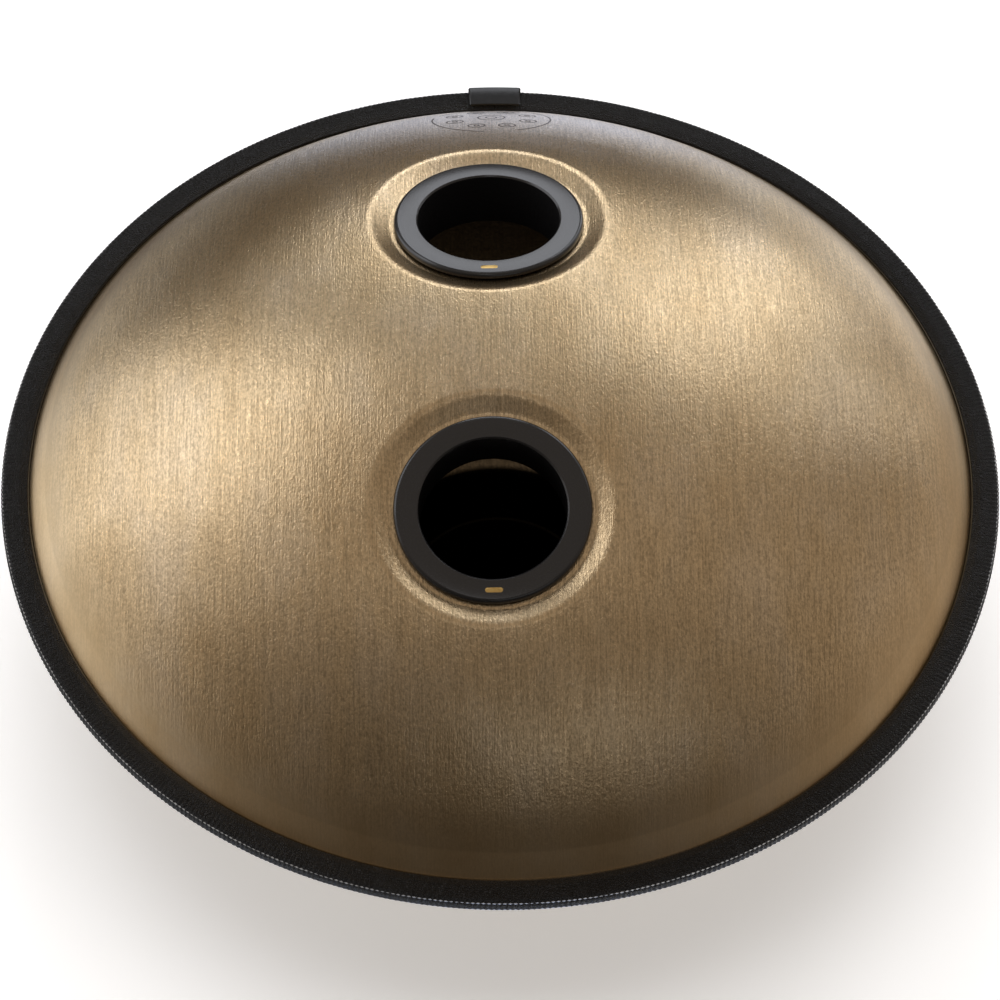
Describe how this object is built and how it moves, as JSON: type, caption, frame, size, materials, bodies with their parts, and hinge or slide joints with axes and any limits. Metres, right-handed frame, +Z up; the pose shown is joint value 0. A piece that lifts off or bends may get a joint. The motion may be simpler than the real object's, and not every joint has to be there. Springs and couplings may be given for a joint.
{
  "type": "handpan",
  "caption": "Ported steel handpan with a ported dome, a playing dome with tone fields and a central note, a rubber edge trim and push-in port rings.",
  "frame": {"origin": "bottom centre, on the instrument's axis, at the crest of the central note that the instrument stands on", "axes": "+Z up along the instrument's axis, with the ported side up; +Y towards the rear port and the trim clip; +X to the right"},
  "size_m": [0.536, 0.5373, 0.237],
  "materials": {
    "shell_steel": "brushed, heat-toned gold",
    "epoxy": "matt",
    "trim_rubber": "leather-grained, ribbed",
    "carrier_steel": "plain",
    "clip_black": "gloss black",
    "ring_black": "black anodised",
    "gasket_rubber": "matt",
    "mark_gold": "satin"
  },
  "bodies": {
    "pan": {"gu_shell": "shell_steel", "ding_shell": "shell_steel", "rim_bond": "epoxy", "edge_trim": "trim_rubber", "trim_carrier": "carrier_steel", "trim_clip": "clip_black"},
    "front_ring": {"port_ring_front": "ring_black", "port_gasket_front": "gasket_rubber", "port_mark_front": "mark_gold"},
    "rear_ring": {"port_ring_rear": "ring_black", "port_gasket_rear": "gasket_rubber", "port_mark_rear": "mark_gold"}
  },
  "joints": [
    {"name": "front_ring_slide", "type": "slide", "parent": "pan", "child": "front_ring", "axis": [-0.0168, -0.255, 0.9668], "range_m": [0, 0.042]},
    {"name": "rear_ring_slide", "type": "slide", "parent": "pan", "child": "rear_ring", "axis": [-0.0168, 0.255, 0.9668], "range_m": [0, 0.042]}
  ]
}
